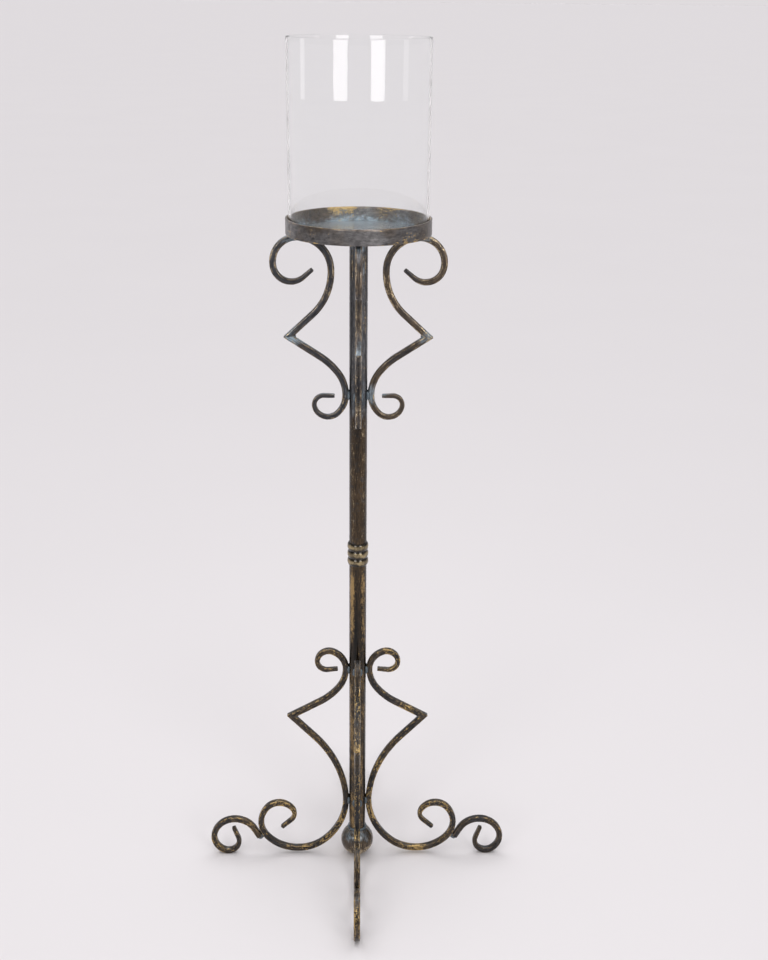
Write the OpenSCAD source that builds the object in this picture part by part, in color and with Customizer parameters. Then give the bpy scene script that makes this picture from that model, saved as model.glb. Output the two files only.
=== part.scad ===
// Tall floor stand for a pillar candle: a tubular post on four scrolled legs, with four scrolled brackets
// under a shallow round pan, and a loose glass hurricane standing in the pan.
//
// The post's axis is +Z, the stand rests on z = 0, and the four brackets and legs point along +X, +Y, -X, -Y.

/* [Post] */
// Outside diameter of the post tube
post_d = 25; // [22:0.5:28]
// Wall of the post tube
post_wall = 1.5; // [1:0.1:2.5]
// Height of the joint between the two tubes
joint_z = 514; // [450:1:600]
// Diameter over the beads of the joint collar
collar_d = 30.4; // [29.5:0.1:34]
// Height of each of the collar's three beads
bead_pitch = 11.5; // [10:0.5:13]
// Diameter of the ball under the post
ball_d = 50; // [46:1:51]
// Gap between the ball and the floor
ball_gap = 1.5; // [0.5:0.5:6]

/* [Pan] */
// Outside diameter of the pan
pan_d = 194; // [190:1:206]
// Height of the pan's band
pan_band_h = 21; // [16:1:30]
// Thickness of the pan's band
pan_band_t = 3; // [2:0.5:3]
// Thickness of the pan's floor
pan_floor_t = 2; // [1.5:0.5:4]
// Height of the underside of the pan
pan_z = 973; // [968:1:978]

/* [Glass] */
// Outside diameter of the hurricane
glass_d = 186; // [176:1:186]
// Wall of the hurricane
glass_wall = 3; // [2:0.5:4]
// Height of the hurricane
glass_h = 245; // [180:5:300]

/* [Bars] */
// Side of the square bar that every scroll is bent from
bar = 9.5; // [8:0.5:10]
// Width of the softened edges of the bar
bar_edge = 1.2; // [0.8:0.1:1.8]
// Side of the bar at the end of a scroll, where it is drawn out
tip = 6; // [5:0.5:7]
// Gap between a bar and the post or the pan, which its welds fill
weld_gap = 0.25; // [0.2:0.05:0.4]
// Height of the foot welds, where the legs meet the post
foot_weld_z = 98.5; // [95:0.5:102]
// Height of the welds at the top of the legs
leg_weld_z = 326; // [320:1:332]
// Height of the welds at the bottom of the brackets
bracket_weld_z = 751; // [746:1:756]
// Distance from the post's axis to the welds under the pan
pan_weld_r = 81; // [79:0.5:83]
// Distance from the post's axis to where the toes touch the floor
toe_r = 202; // [202:0.5:206]

/* [Hidden] */
$fn = 144;
sides = ["right", "back", "left", "front"];
bars = ["bracket_top_scroll", "bracket_low_scroll", "leg_top_scroll", "leg_scroll", "toe_scroll"];

iron = "#3b3632";
worn_iron = "#4a4033";
brass = "#9c8450";
weld_grey = "#55626a";

post_r = post_d / 2;
bore_r = post_r - post_wall;
ball_r = ball_d / 2;
ball_z = ball_gap + ball_r;
tube_foot_z = ball_z + sqrt(ball_r * ball_r - bore_r * bore_r);
pan_r = pan_d / 2;
pan_floor_r = pan_r - pan_band_t;
pan_floor_top = pan_z + pan_floor_t;

// Where each bar touches what it is welded to, or the floor: [distance from the axis, height, heading].
// The heading is the bar's own direction there, in degrees from straight out, and the contact is on its left.
post_contact_r = post_r + weld_gap + bar / 2;
bracket_contact = [post_contact_r, bracket_weld_z, 90];
leg_top_contact = [post_contact_r, leg_weld_z, 90];
leg_contact = [post_contact_r, foot_weld_z, 90];
pan_contact = [pan_weld_r, pan_z - weld_gap - bar / 2, 0];
toe_contact = [toe_r, bar / 2, 180];

// Bends, as [radius, angle], in the order they come when leaving the contact. Every bar curls away from
// what it touches: the bends ahead of the contact turn right, and those behind it turn left.
bracket_top_to_end = [[33.5, 104], [24, 99], [30, 18]];
bracket_top_to_corner = [[44, 86], [79, 51]];
bracket_low_to_corner = [[52, 37], [97, 20]];
bracket_low_to_end = [[37, 46], [19, 121], [13, 104]];
leg_top_to_end = [[30, 69], [17, 113], [14, 94]];
leg_top_to_corner = [[52, 39], [95, 22]];
leg_to_corner = [[103, 5], [168, 39]];
leg_to_end = [[98, 49], [63, 88], [40.5, 83], [25, 107], [15, 81]];
toe_to_end = [[17, 54], [18, 56]];
toe_to_leg = [[17, 34], [27, 65], [33, 68], [34, 73]];

// Straight, drawn-out lengths at the ends of the scrolls
long_end = 20;
short_end = 15;
// Straight length of the toe's bar before it meets the leg
toe_straight = 17;
// How far a mitred corner reaches past its centre before it is blunted
corner_nose = 6.2;
// A bend of this radius counts as straight
straight_radius = 60000;
// How far a drawn-out end is let into its bar, and how much smaller it is there
end_lap = 1;
end_step = 0.3;
// Larger than any corner, for cutting
cut = 60;
// A bar overruns a mitre by this much before it is cut back
overrun = 1.5 * bar;

// How far a weld runs out from the corner that it fills
weld_leg = 2.6;
weld_length = 13;
// The bead inside a corner, and how far short of its two bars the bead stops
corner_bead_r = 3.2;
corner_gap = 0.05;
joint_length = 25;
stud_r = 5;
stud_length = 46;
thread_gap = 0.05;
slip_gap = 0.05;
chamfer = 0.5;

// The pose [r, z, heading] after one bend; turn is 1 to the left and -1 to the right
function bent(pose, bend, turn) =
    let (radius = turn * bend[0], heading = pose[2] + turn * bend[1])
    [
        pose[0] + radius * (sin(heading) - sin(pose[2])),
        pose[1] - radius * (cos(heading) - cos(pose[2])),
        heading
    ];

// The pose after every bend in a list
function bent_all(pose, bends, turn, i = 0) =
    i == len(bends) ? pose : bent_all(bent(pose, bends[i], turn), bends, turn, i + 1);

// The pose at the start of the run behind a contact
function about_face(pose) = [pose[0], pose[1], pose[2] - 180];

// How far to go straight on from pose a to meet the line through pose b
function reach(a, b) =
    ((b[0] - a[0]) * sin(b[2]) - (b[1] - a[1]) * cos(b[2])) / sin(b[2] - a[2]);

// The corner where two bars meet: [distance from the axis, height, direction of the mitre]
function corner(a, b) =
    [a[0] + reach(a, b) * cos(a[2]), a[1] + reach(a, b) * sin(a[2]), (a[2] + b[2]) / 2];

bracket_top_exit = bent_all(about_face(pan_contact), bracket_top_to_corner, 1);
bracket_low_exit = bent_all(bracket_contact, bracket_low_to_corner, -1);
leg_top_exit = bent_all(about_face(leg_top_contact), leg_top_to_corner, 1);
leg_exit = bent_all(leg_contact, leg_to_corner, -1);

// The toe's bar lies against the leg's third bend: [distance from the axis, height] of that bend's centre
leg_third_bend = bent_all(about_face(leg_contact), [leg_to_end[0], leg_to_end[1]], 1);
leg_curl_centre = [
    leg_third_bend[0] - leg_to_end[2][0] * sin(leg_third_bend[2]),
    leg_third_bend[1] + leg_to_end[2][0] * cos(leg_third_bend[2])
];
leg_curl_r = leg_to_end[2][0] + bar / 2;
toe_exit = bent_all(about_face(toe_contact), toe_to_leg, 1);

// ---------- square bar ----------

module bar_section() {
    half = bar / 2;
    inner = half - bar_edge;
    polygon([
        [half, inner], [inner, half], [-inner, half], [-half, inner],
        [-half, -inner], [-inner, -half], [inner, -half], [half, -inner]
    ]);
}

// Moves by whole millimetres, then by the rest in two steps, so that bends meet without a rounding gap
module place(at) {
    whole = [for (value = at) round(value)];
    rest = at - whole;
    coarse = [for (value = rest) round(1000 * value) / 1000];
    translate(whole)
        translate(coarse)
            translate(rest - coarse)
                children();
}

// One bend of bar that starts at a pose, drawn in the plane of its bracket
module bend(pose, radius, angle, turn) {
    place([pose[0] - turn * radius * sin(pose[2]), pose[1] + turn * radius * cos(pose[2]), 0])
        rotate_extrude(angle = angle, start = turn > 0 ? pose[2] - 90 : pose[2] + 90 - angle)
            translate([radius, 0])
                bar_section();
}

// Every bend of a list, one after the other
module run(pose, bends, turn) {
    for (i = [0:len(bends) - 1])
        bend(bent_all(pose, [for (j = [0:1:i - 1]) bends[j]], turn), bends[i][0], bends[i][1], turn);
}

// A straight stretch that goes on from a pose
module straight(pose, length) {
    bend(pose, straight_radius, length / straight_radius * 180 / PI, 1);
}

// The drawn-out end of a scroll, let a little way into the bar that it goes on from
module drawn_end(pose, length) {
    translate([pose[0], pose[1], 0])
        rotate(pose[2])
            translate([-end_lap, 0, 0])
                rotate([90, 0, 90])
                    linear_extrude(height = length + end_lap, scale = tip / (bar - end_step))
                        scale((bar - end_step) / bar)
                            bar_section();
}

// Puts the plane of a bracket upright, so that its second axis is the height
module upright() {
    rotate([90, 0, 0])
        children();
}

module at_pose(pose) {
    translate([pose[0], pose[1], 0])
        rotate(pose[2])
            children();
}

// The side of a corner's mitre that is above it (1) or below it (-1), with the nose that is blunted
module mitre_waste(at, above) {
    at_pose(at)
        translate([-cut / 2, above > 0 ? 0 : -cut, -cut / 2])
            cube(cut);
    at_pose([at[0], at[1], 0])
        translate([corner_nose, -cut / 2, -cut / 2])
            cube(cut);
}

// A bar with a scroll on one side of its contact and a mitred corner on the other.
// The corner's exit poses are this bar's own and that of the bar it meets.
module cornered_bar(contact, to_end, end_turn, end_length, to_corner, exit, other_exit, above) {
    end_start = end_turn < 0 ? contact : about_face(contact);
    corner_start = end_turn < 0 ? about_face(contact) : contact;
    upright()
        difference() {
            union() {
                run(end_start, to_end, end_turn);
                drawn_end(bent_all(end_start, to_end, end_turn), end_length);
                run(corner_start, to_corner, -end_turn);
                straight(exit, reach(exit, other_exit) + overrun);
            }
            mitre_waste(corner(exit, other_exit), above);
        }
}

// ---------- the five bars of one side, pointing along +X ----------

module bracket_top_scroll() {
    color(iron)
        cornered_bar(pan_contact, bracket_top_to_end, -1, short_end,
            bracket_top_to_corner, bracket_top_exit, bracket_low_exit, -1);
}

module bracket_low_scroll() {
    color(iron)
        cornered_bar(bracket_contact, bracket_low_to_end, 1, short_end,
            bracket_low_to_corner, bracket_low_exit, bracket_top_exit, 1);
}

module leg_top_scroll() {
    color(worn_iron)
        cornered_bar(leg_top_contact, leg_top_to_end, -1, short_end,
            leg_top_to_corner, leg_top_exit, leg_exit, -1);
}

module leg_scroll() {
    color(worn_iron)
        cornered_bar(leg_contact, leg_to_end, 1, long_end,
            leg_to_corner, leg_exit, leg_top_exit, 1);
}

// The room that the leg's third bend takes up, out to the bar's outer face
module leg_curl() {
    translate([leg_curl_centre[0], leg_curl_centre[1], 0])
        cylinder(h = cut, r = leg_curl_r, center = true);
}

// The toe's end is cut to the curve of the leg it lies against
module toe_scroll() {
    color(worn_iron)
        upright()
            difference() {
                union() {
                    run(toe_contact, toe_to_end, -1);
                    drawn_end(bent_all(toe_contact, toe_to_end, -1), long_end);
                    run(about_face(toe_contact), toe_to_leg, 1);
                    straight(toe_exit, toe_straight);
                }
                leg_curl();
            }
}

// ---------- welds ----------

module each_side() {
    for (quarter = [0:3])
        rotate(quarter * 90)
            children();
}

// The weld round a bar at its contact, before what it is welded to is cut away. It hugs the bar's
// softened edges and runs out on to the other piece.
module contact_weld(pose) {
    half = bar / 2;
    inner = half - bar_edge;
    spread = half + weld_leg;
    upright()
        at_pose(pose)
            rotate([90, 0, 90])
                linear_extrude(height = weld_length, center = true)
                    polygon([
                        [half, inner], [inner, half], [inner - weld_leg / 2, half], [spread, spread],
                        [spread, -spread], [inner - weld_leg / 2, -half], [inner, -half], [half, -inner]
                    ]);
}

module weld_to_post(pose) {
    color(weld_grey)
        each_side()
            difference() {
                contact_weld(pose);
                cylinder(h = pan_z, r = post_r);
            }
}

// A bead across the inside of a corner, cut to the two straight bars that meet there
module corner_weld(a, b) {
    at = corner(a, b);
    inner = bar / 2 / sin(abs(a[2] - b[2]) / 2);
    upright()
        difference() {
            at_pose(at)
                translate([-inner - corner_bead_r / 2, 0, 0])
                    cylinder(h = bar - 2 * bar_edge, r = corner_bead_r, center = true);
            for (piece = [a, b])
                at_pose([at[0], at[1], piece[2]])
                    cube([2 * cut, bar + 2 * corner_gap, 2 * bar], center = true);
        }
}

module pan_scroll_welds() {
    color(weld_grey)
        each_side()
            difference() {
                contact_weld(pan_contact);
                translate([0, -cut / 2, pan_z])
                    cube([pan_r, cut, cut]);
            }
}

module bracket_post_welds() {
    weld_to_post(bracket_contact);
}

module leg_top_welds() {
    weld_to_post(leg_top_contact);
}

module leg_foot_welds() {
    weld_to_post(leg_contact);
}

module bracket_corner_welds() {
    color(weld_grey)
        each_side()
            corner_weld(bracket_top_exit, bracket_low_exit);
}

module leg_corner_welds() {
    color(weld_grey)
        each_side()
            corner_weld(leg_top_exit, leg_exit);
}

// Fills the crotch above each toe, between its straight end and the leg's curl
module toe_welds() {
    width = bar - 2 * bar_edge;
    color(weld_grey)
        each_side()
            upright()
                difference() {
                    at_pose(toe_exit)
                        translate([0, 0, -width / 2])
                            linear_extrude(height = width)
                                polygon([[0, -bar / 2], [toe_straight, -bar], [toe_straight, -bar / 2]]);
                    leg_curl();
                }
}

// A ring of weld in the corner between the tube and what is above or below it
module ring_weld(z) {
    translate([0, 0, z])
        rotate_extrude()
            translate([post_r, 0])
                circle(r = weld_leg);
}

module pan_post_weld() {
    color(weld_grey)
        difference() {
            ring_weld(pan_z);
            cylinder(h = pan_z, r = post_r);
            translate([0, 0, pan_z])
                cylinder(h = cut, r = pan_r);
        }
}

module ball_weld() {
    color(weld_grey)
        difference() {
            ring_weld(tube_foot_z);
            translate([0, 0, tube_foot_z - cut / 2])
                cylinder(h = cut, r = post_r);
            translate([0, 0, ball_z])
                sphere(r = ball_r);
        }
}

// ---------- post ----------

module tube(bottom, top) {
    translate([0, 0, bottom])
        difference() {
            cylinder(h = top - bottom, r = post_r);
            translate([0, 0, -1])
                cylinder(h = top - bottom + 2, r = bore_r);
        }
}

module upper_post_tube() {
    color(iron)
        tube(joint_z, pan_z);
}

module lower_post_tube() {
    color(worn_iron)
        tube(tube_foot_z, joint_z);
}

// A round plug in the end of a tube, tapped through for the stud
module insert(bottom) {
    translate([0, 0, bottom])
        difference() {
            cylinder(h = joint_length, r = bore_r);
            translate([0, 0, -1])
                cylinder(h = joint_length + 2, r = stud_r + thread_gap);
        }
}

module upper_insert() {
    color(weld_grey)
        insert(joint_z);
}

module lower_insert() {
    color(weld_grey)
        insert(joint_z - joint_length);
}

module joining_stud() {
    color("silver")
        translate([0, 0, joint_z - stud_length / 2])
            cylinder(h = stud_length, r = stud_r);
}

// A sleeve over the joint, turned with three rounded beads
module joint_collar() {
    sleeve_r = post_r + slip_gap;
    crown_r = 0.9 * bead_pitch;
    crown_centre = collar_d / 2 - crown_r;
    color(brass)
        translate([0, 0, joint_z])
            rotate_extrude()
                for (row = [-1, 0, 1])
                    translate([0, row * bead_pitch])
                        intersection() {
                            translate([crown_centre, 0])
                                circle(r = crown_r);
                            translate([sleeve_r, -bead_pitch / 2])
                                square([collar_d, bead_pitch]);
                        }
}

// The ball has a spigot that plugs the tube
module foot_ball() {
    color(worn_iron)
        union() {
            translate([0, 0, ball_z])
                sphere(r = ball_r);
            translate([0, 0, ball_z])
                cylinder(h = tube_foot_z - ball_z + joint_length / 2, r = bore_r - slip_gap);
        }
}

// ---------- pan and glass ----------

module pan_band() {
    inner = pan_r - pan_band_t;
    color(iron)
        translate([0, 0, pan_z])
            rotate_extrude()
                polygon([
                    [inner, 0], [pan_r - chamfer, 0], [pan_r, chamfer],
                    [pan_r, pan_band_h - chamfer], [pan_r - chamfer, pan_band_h],
                    [inner + chamfer, pan_band_h], [inner, pan_band_h - chamfer]
                ]);
}

module pan_floor() {
    color(weld_grey)
        translate([0, 0, pan_z])
            cylinder(h = pan_floor_t, r = pan_floor_r);
}

module glass_hurricane() {
    outer = glass_d / 2;
    inner = outer - glass_wall;
    color("lightcyan", 0.35)
        translate([0, 0, pan_floor_top])
            rotate_extrude()
                polygon([
                    [inner + chamfer, 0], [outer - chamfer, 0], [outer, chamfer],
                    [outer, glass_h - chamfer], [outer - chamfer, glass_h],
                    [inner + chamfer, glass_h], [inner, glass_h - chamfer], [inner, chamfer]
                ]);
}

// ---------- nodes ----------

glass_hurricane();
pan_band();
pan_floor();
upper_post_tube();
lower_post_tube();
joint_collar();
upper_insert();
lower_insert();
joining_stud();
foot_ball();
for (quarter = [0:3])
    rotate(quarter * 90) {
        side = sides[quarter];
        bracket_top_scroll();
        bracket_low_scroll();
        leg_top_scroll();
        leg_scroll();
        toe_scroll();
    }
pan_scroll_welds();
pan_post_weld();
bracket_post_welds();
bracket_corner_welds();
leg_top_welds();
leg_corner_welds();
leg_foot_welds();
toe_welds();
ball_weld();
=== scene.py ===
"""A tall wrought stand for a pillar candle, dressed round its CAD frame.

Every bar is swept again along the bends that its CAD node has, with forged tapers, softened edges and
small dents. The post, the collar, the ball, the pan and the glass are turned from their profiles.
Lengths are in metres and angles in degrees unless a line says otherwise, and +Z is up.
"""

import math

import bmesh
import bpy
from mathutils import Matrix, Vector, noise


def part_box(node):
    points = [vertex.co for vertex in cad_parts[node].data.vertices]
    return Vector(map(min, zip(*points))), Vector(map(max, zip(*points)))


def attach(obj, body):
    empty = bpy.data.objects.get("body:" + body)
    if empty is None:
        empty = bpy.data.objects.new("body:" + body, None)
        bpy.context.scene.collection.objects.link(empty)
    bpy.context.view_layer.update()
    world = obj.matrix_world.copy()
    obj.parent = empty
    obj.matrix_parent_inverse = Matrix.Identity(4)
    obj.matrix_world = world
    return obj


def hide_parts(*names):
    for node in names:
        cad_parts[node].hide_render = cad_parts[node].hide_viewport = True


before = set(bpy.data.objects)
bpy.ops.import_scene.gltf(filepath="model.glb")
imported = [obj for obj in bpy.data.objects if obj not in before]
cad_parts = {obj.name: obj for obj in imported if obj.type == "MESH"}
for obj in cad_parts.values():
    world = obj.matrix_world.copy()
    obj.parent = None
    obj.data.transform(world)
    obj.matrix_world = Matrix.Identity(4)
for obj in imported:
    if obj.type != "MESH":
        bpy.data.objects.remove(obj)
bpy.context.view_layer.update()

MM = 0.001

# The pieces' skin coordinates (UV) are in tenths of a metre
SKIN_SCALE = 10


# ---------- sizes, read from the frame ----------

def middle(node):
    low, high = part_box(node)
    return (low + high) / 2


POST_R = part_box("upper_post_tube")[1].x
POST_WALL = 1.5 * MM
JOINT_Z = middle("joint_collar").z
TUBE_FOOT_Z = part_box("lower_post_tube")[0].z
BALL_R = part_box("foot_ball")[1].x
BALL_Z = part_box("foot_ball")[0].z + BALL_R
PAN_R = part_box("pan_band")[1].x
PAN_LOW, PAN_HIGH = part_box("pan_band")[0].z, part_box("pan_band")[1].z
PAN_FLOOR_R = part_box("pan_floor")[1].x
PAN_FLOOR_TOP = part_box("pan_floor")[1].z
GLASS_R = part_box("glass_hurricane")[1].x
GLASS_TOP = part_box("glass_hurricane")[1].z
GLASS_WALL = 3 * MM
BAR = 2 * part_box("right_toe_scroll")[1].y
WELD_GAP = 0.25 * MM
WELD_LENGTH = 13 * MM

SIDES = {"right": 0, "back": 90, "left": 180, "front": 270}

# Where each bar touches the post, the pan or the floor: (distance from the axis, height, heading).
# The heading is the bar's own direction in its bracket's plane, from straight out.
POST_CONTACT_R = POST_R + WELD_GAP + BAR / 2
PAN_CONTACT = (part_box("pan_scroll_welds")[1].x - WELD_LENGTH / 2, PAN_LOW - WELD_GAP - BAR / 2, 0)
BRACKET_CONTACT = (POST_CONTACT_R, middle("bracket_post_welds").z, 90)
LEG_TOP_CONTACT = (POST_CONTACT_R, middle("leg_top_welds").z, 90)
LEG_CONTACT = (POST_CONTACT_R, middle("leg_foot_welds").z, 90)
TOE_CONTACT = (202 * MM, BAR / 2, 180)

# The bends of each bar on either side of its contact, as (radius in mm, angle). The bar turns right ahead
# of the contact and left behind it. "end" says which side the scroll's end is on, and "tip" is the
# straight length in mm after its last bend. A taper is a list of (distance from the contact, width of the
# bar), both in mm.
BARS = {
    "bracket_top_scroll": {
        "contact": PAN_CONTACT, "end": "ahead",
        "to_end": [(33.5, 104), (24, 99), (30, 18)], "tip": 15,
        "to_corner": [(44, 86), (79, 51)],
        "taper": [(50, 9.5), (93, 8.4), (112, 7), (127, 5.8)],
    },
    "bracket_low_scroll": {
        "contact": BRACKET_CONTACT, "end": "behind",
        "to_end": [(37, 46), (19, 121), (13, 104)], "tip": 15,
        "to_corner": [(52, 37), (97, 20)],
        "taper": [(5, 9.5), (44, 7.4), (73, 7), (108, 5.4)],
    },
    "leg_top_scroll": {
        "contact": LEG_TOP_CONTACT, "end": "ahead",
        "to_end": [(30, 69), (17, 113), (14, 94)], "tip": 15,
        "to_corner": [(52, 39), (95, 22)],
        "taper": [(10, 9.5), (42, 9), (69, 7.9), (107, 5.7)],
    },
    "leg_scroll": {
        "contact": LEG_CONTACT, "end": "behind",
        "to_end": [(98, 49), (63, 88), (40.5, 83), (25, 107), (15, 81)], "tip": 20,
        "to_corner": [(103, 5), (168, 39)],
        "taper": [(262, 9.5), (280, 8.2), (298, 7.3), (327, 6.4)],
    },
    "toe_scroll": {
        "contact": TOE_CONTACT, "end": "ahead",
        "to_end": [(17, 54), (18, 56)], "tip": 20,
        "to_corner": [(17, 34), (27, 65), (33, 68), (34, 73)],
        "taper": [(0, 9.5), (22, 8), (54, 6.2)],
    },
}

# The toe's bar runs this far on from its last bend, if the leg's curl doesn't stop it first
TOE_STRAIGHT = 17 * MM

# A mitred corner. Its blunt nose lies CORNER_NOSE out from its centre. The bars are swept past the centre
# by the overrun and cut back, and a cut takes only faces within the reach. The nose's edges on the mitre
# stay sharp, and its others are softened.
CORNER_NOSE = 6.2 * MM
CORNER_OVERRUN = 1.5 * BAR
CORNER_REACH = 4 * BAR
CUT_TOLERANCE = 1e-7
ON_MITRE = 1e-5
SAWN_EDGE = 0.5 * MM

# A scroll's end is dressed round: (distance from the end in mm, how much smaller the section is there)
DRESSED_END = ((0.0, 0.24), (0.25, 0.1), (0.6, 0.03))

# Spacing of the rings along a bar, and the shape of its section
RING_STEP = 1.8 * MM
EDGE_R = 1.8 * MM
EDGE_STEPS = 4
SIDE_STEPS = 5
CROWN = 0.22 * MM
DENT_DEPTH = 0.16 * MM

# Edges sharper than this are shaded sharp
SMOOTH_ANGLE = 38
COLLAR_SMOOTH_ANGLE = 60
BEAD_SMOOTH_ANGLE = 80

# Turned pieces: points nearer than this are on the axis, and how finely each is divided round it
ON_AXIS = 1e-6
TUBE_SEGMENTS = 120
COLLAR_SEGMENTS = 128
BALL_SEGMENTS = 128
PAN_BAND_SEGMENTS = 192
PAN_FLOOR_SEGMENTS = 160
GLASS_SEGMENTS = 384

# Weld beads, and how far their centre lines lie off the faces of the metal beside them
BEAD_SEGMENTS = 14
BEAD_STEPS = 22
CONTACT_BEAD_R = 2.7 * MM
CONTACT_BEAD_HALF = 6 * MM
CROSS_BEAD_HALF = BAR / 2 - 0.9 * MM
CORNER_BEAD_R = 2.6 * MM
TOE_BEAD_R = 2.4 * MM
RING_BEAD_R = 2.2 * MM
RING_BEAD_STEPS = 60
BEAD_OFFSET = 0.2 * MM


# ---------- poses along a bar, in its bracket's plane ----------

def bent(pose, radius, angle, turn):
    """The pose after one bend. The turn is 1 to the left and -1 to the right."""
    r, z, heading = pose
    before, after = math.radians(heading), math.radians(heading + turn * angle)
    return (
        r + turn * radius * (math.sin(after) - math.sin(before)),
        z - turn * radius * (math.cos(after) - math.cos(before)),
        heading + turn * angle,
    )


def ahead_of(pose, distance):
    r, z, heading = pose
    a = math.radians(heading)
    return (r + distance * math.cos(a), z + distance * math.sin(a), heading)


def about_face(pose):
    return (pose[0], pose[1], pose[2] - 180)


def along_bends(start, bends, turn):
    """Poses about RING_STEP apart from start to the last bend's end, each with its distance from start."""
    poses, pose, travelled = [(start, 0.0)], start, 0.0
    for radius_mm, angle in bends:
        radius = radius_mm * MM
        length = radius * math.radians(angle)
        steps = max(2, round(length / RING_STEP))
        for i in range(1, steps + 1):
            poses.append((bent(pose, radius, angle * i / steps, turn), travelled + length * i / steps))
        pose = poses[-1][0]
        travelled += length
    return poses


def along_straight(last, length):
    """Poses straight on from the last of a run."""
    pose, travelled = last
    steps = max(2, round(length / RING_STEP))
    parts = [length * i / steps for i in range(1, steps + 1)]
    return [(ahead_of(pose, part), travelled + part) for part in parts]


def reach(a, b):
    """How far to go straight on from pose a to meet the line through pose b."""
    ha, hb = math.radians(a[2]), math.radians(b[2])
    return ((b[0] - a[0]) * math.sin(hb) - (b[1] - a[1]) * math.cos(hb)) / math.sin(hb - ha)


def turns(bar):
    """The turn of the run to the scroll's end, and of the run to the corner."""
    to_end = -1 if bar["end"] == "ahead" else 1
    return to_end, -to_end


def start_of(bar, side):
    """The pose that the run to the end, or to the corner, sets out from."""
    ahead = (side == "end") == (bar["end"] == "ahead")
    return bar["contact"] if ahead else about_face(bar["contact"])


def exit_of(bar):
    """The pose at which a bar leaves its last bend for the corner, or for the leg on a toe."""
    return along_bends(start_of(bar, "corner"), bar["to_corner"], turns(bar)[1])[-1][0]


def corner_of(a, b):
    """The pose of the mitre between two bars: its centre, and the direction that its point faces."""
    exit_a, exit_b = exit_of(a), exit_of(b)
    r, z, _ = ahead_of(exit_a, reach(exit_a, exit_b))
    return (r, z, (exit_a[2] + exit_b[2]) / 2)


BRACKET_CORNER = corner_of(BARS["bracket_top_scroll"], BARS["bracket_low_scroll"])
LEG_CORNER = corner_of(BARS["leg_top_scroll"], BARS["leg_scroll"])


def leg_curl():
    """The centre and the outer radius of the leg's third bend, which the toe's bar lies against."""
    leg = BARS["leg_scroll"]
    r, z, heading = along_bends(start_of(leg, "end"), leg["to_end"][:2], 1)[-1][0]
    a = math.radians(heading)
    radius = leg["to_end"][2][0] * MM
    return Vector((r - radius * math.sin(a), z + radius * math.cos(a))), radius + BAR / 2


LEG_CURL, LEG_CURL_R = leg_curl()


# ---------- meshes ----------

def smoothstep(low, high, x):
    t = min(1.0, max(0.0, (x - low) / (high - low)))
    return t * t * (3 - 2 * t)


def bump_at(x, at, spread):
    """1 at a value, falling away to 0 on both sides of it."""
    return math.exp(-((x - at) / spread) ** 2)


def unit_noise(point):
    """Smooth noise from 0 to 1, and 0.5 on average."""
    return 0.5 + 0.5 * noise.noise(point)


def interpolated(points, x):
    """A value from a list of (x, value), straight between them and held past its ends."""
    if x <= points[0][0]:
        return points[0][1]
    for (x0, v0), (x1, v1) in zip(points, points[1:]):
        if x <= x1:
            return v0 + (v1 - v0) * (x - x0) / (x1 - x0)
    return points[-1][1]


def rounded_square():
    """The bar's section as (across, out, edge), where edge says how far into a rounded corner a point is.

    It is 0 on the sides, 0.6 where a corner begins and 1 in its middle. The sides are slightly crowned, as
    on hammered bar.
    """
    half = BAR / 2
    flat = half - CROWN - EDGE_R
    points = []
    for quarter in range(4):
        turn = Matrix.Rotation(math.radians(90 * quarter), 2)
        for i in range(EDGE_STEPS + 1):
            a = math.radians(90 * i / EDGE_STEPS)
            p = turn @ Vector((flat + EDGE_R * math.cos(a), flat + EDGE_R * math.sin(a)))
            points.append((p.x, p.y, math.sin(2 * a) * 0.4 + 0.6))
        for i in range(1, SIDE_STEPS):
            x = flat - 2 * flat * i / SIDE_STEPS
            p = turn @ Vector((x, half - CROWN * (x / flat) ** 2))
            points.append((p.x, p.y, 0.0))
    return points


SECTION = rounded_square()


def dent(point, seed, depth=DENT_DEPTH):
    """How far a forged surface lies under its true one at a point, from 0 to depth."""
    broad = noise.noise(point * 70 + Vector((seed, 0, 0)))
    fine = noise.noise(point * 230 + Vector((0, seed, 0)))
    return depth * min(1.0, max(0.0, 0.5 + 0.6 * broad + 0.35 * fine))


def finish_piece(name, bm, material, smooth_angle=SMOOTH_ANGLE):
    """Makes the piece's object, with shading that is smooth except over sharp edges."""
    mesh = bpy.data.meshes.new(name)
    bm.to_mesh(mesh)
    bm.free()
    mesh.materials.append(material)
    for polygon in mesh.polygons:
        polygon.use_smooth = True
    mesh.set_sharp_from_angle(angle=math.radians(smooth_angle))
    piece = bpy.data.objects.new(name, mesh)
    bpy.context.scene.collection.objects.link(piece)
    return piece


def new_piece():
    """An empty mesh, the float layers that the materials read, all 0 at first, and its skin coordinates.

    The layers say where edges are worn, where the gold, the blue patina and the warm brown are, and how
    much lighter the paint is. The edge layer also holds the collar's painted highlight and groove shade, the
    blue layer a painted sheen on upward faces, and the tone layer painted light from above and painted
    shade.
    """
    bm = bmesh.new()
    layers = {key: bm.verts.layers.float.new(key) for key in ("edge", "gold", "blue", "warm", "tone")}
    return bm, layers, bm.loops.layers.uv.new("skin")


def dress(piece, body, slot, *nodes):
    """Hangs a finished piece on its body and hides the nodes it replaces. The slot is not used."""
    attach(piece, body)
    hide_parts(*nodes)


# ---------- bars ----------

def scroll_route(bar):
    """The poses of a bar from its scroll's end to the end of its last bend, each with the width there."""
    end_turn, corner_turn = turns(bar)
    to_end = along_bends(start_of(bar, "end"), bar["to_end"], end_turn)
    to_end += along_straight(to_end[-1], bar["tip"] * MM)
    to_corner = along_bends(start_of(bar, "corner"), bar["to_corner"], corner_turn)
    route = [(about_face(pose), interpolated(bar["taper"], s / MM) * MM) for pose, s in reversed(to_end)]
    return route[:-1] + [(pose, BAR) for pose, _ in to_corner]


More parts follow.
